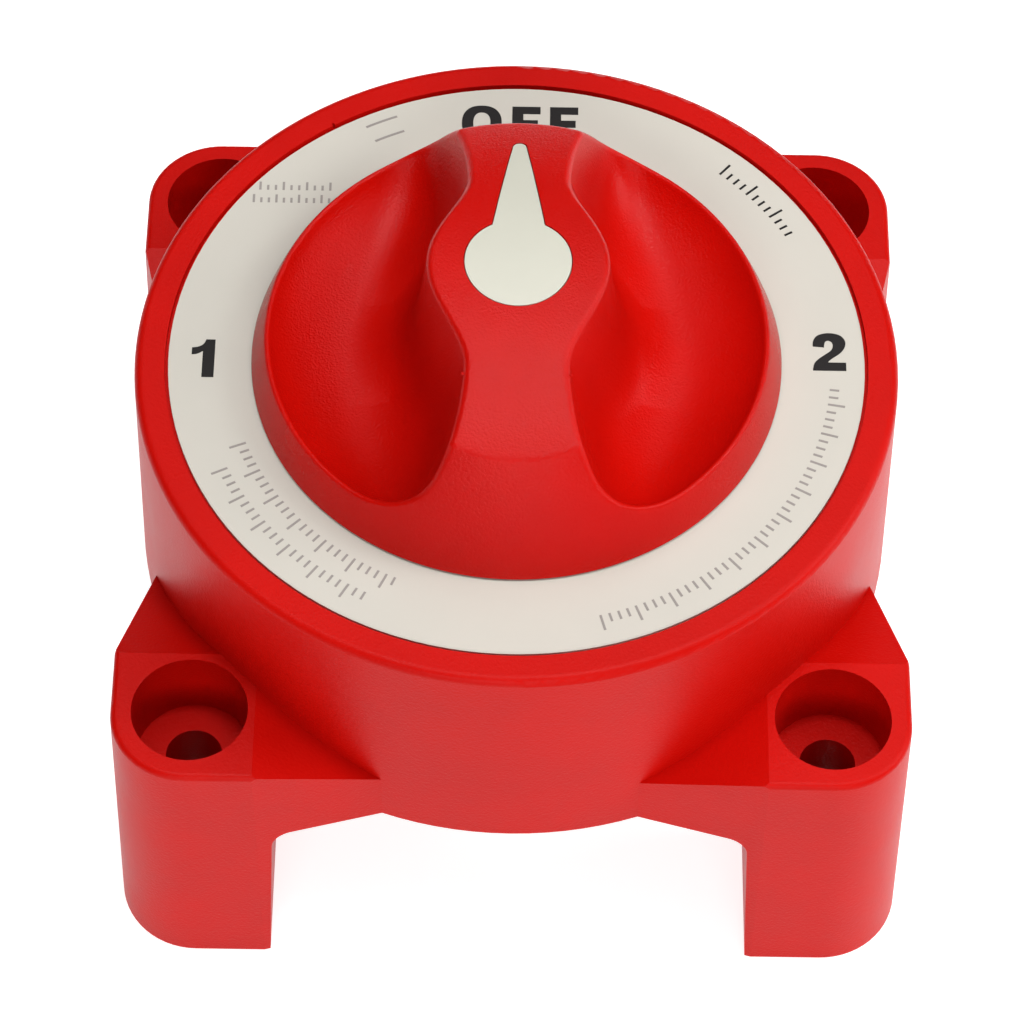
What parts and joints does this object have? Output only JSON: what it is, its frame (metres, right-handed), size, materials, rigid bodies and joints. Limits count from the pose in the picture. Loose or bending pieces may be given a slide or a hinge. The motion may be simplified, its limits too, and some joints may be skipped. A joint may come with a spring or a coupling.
{
  "type": "battery selector switch",
  "caption": "Surface-mount rotary battery switch: square-footed round housing, dished knob with a grip ridge and pointer, threaded stud terminals below",
  "frame": {"origin": "centre of the four feet on the mounting surface, on the knob's axis", "axes": "+Z out of the dial along the knob's axis, +Y towards the OFF mark, +X towards position 2"},
  "size_m": [0.0938, 0.0938, 0.0762],
  "materials": {
    "red_housing": "fine matte texture",
    "red_knob": "satin",
    "label_cream": "matte film",
    "insert_cream": "satin",
    "black_carrier": "matte, glass filled",
    "rotor_plastic": "matte",
    "detent_plastic": "natural acetal",
    "rubber_seal": "matte",
    "washer_plastic": "low-friction washer",
    "copper": "tinned copper, satin",
    "stud_tin": "tin plated",
    "stainless": "stainless steel",
    "spring_steel": "spring steel"
  },
  "bodies": {
    "base": {"housing": "red_housing", "label_ring": "label_cream", "thrust_washer": "washer_plastic", "detent_ring": "detent_plastic", "common_contact": "copper", "contact_1": "copper", "contact_2": "copper", "contact_carrier": "black_carrier", "carrier_gasket": "rubber_seal", "carrier_screws": "stainless", "terminal_studs": "stud_tin", "terminal_flat_washers": "stainless", "terminal_lock_washers": "stainless", "terminal_nuts": "stainless"},
    "turning": {"knob": "red_knob", "pointer_insert": "insert_cream", "knob_screw": "stainless", "knob_washer": "stainless", "rotor": "rotor_plastic", "shaft_seal": "rubber_seal", "detent_spring_a": "spring_steel", "detent_spring_b": "spring_steel", "contact_springs": "spring_steel"},
    "bridge": {"contact_bridge": "copper"},
    "plunger_a": {"detent_plunger_a": "washer_plastic"},
    "plunger_b": {"detent_plunger_b": "washer_plastic"}
  },
  "joints": [
    {"name": "knob_turn", "type": "hinge", "parent": "base", "child": "turning", "pos_m": [0, 0, 0.0578], "axis": [0, 0, 1], "range_deg": [-90, 90]},
    {"name": "bridge_lift", "type": "slide", "parent": "turning", "child": "bridge", "axis": [0, 0, 1], "range_m": [0, 0.0008], "stiffness_N_per_m": 6000, "springref_m": -0.0015, "deforming": ["contact_springs"]},
    {"name": "plunger_a_press", "type": "slide", "parent": "turning", "child": "plunger_a", "axis": [1, 0, 0], "range_m": [0, 0.0008], "stiffness_N_per_m": 3000, "springref_m": 0.002, "deforming": ["detent_spring_a"]},
    {"name": "plunger_b_press", "type": "slide", "parent": "turning", "child": "plunger_b", "axis": [-1, 0, 0], "range_m": [0, 0.0008], "stiffness_N_per_m": 3000, "springref_m": 0.002, "deforming": ["detent_spring_b"]}
  ]
}
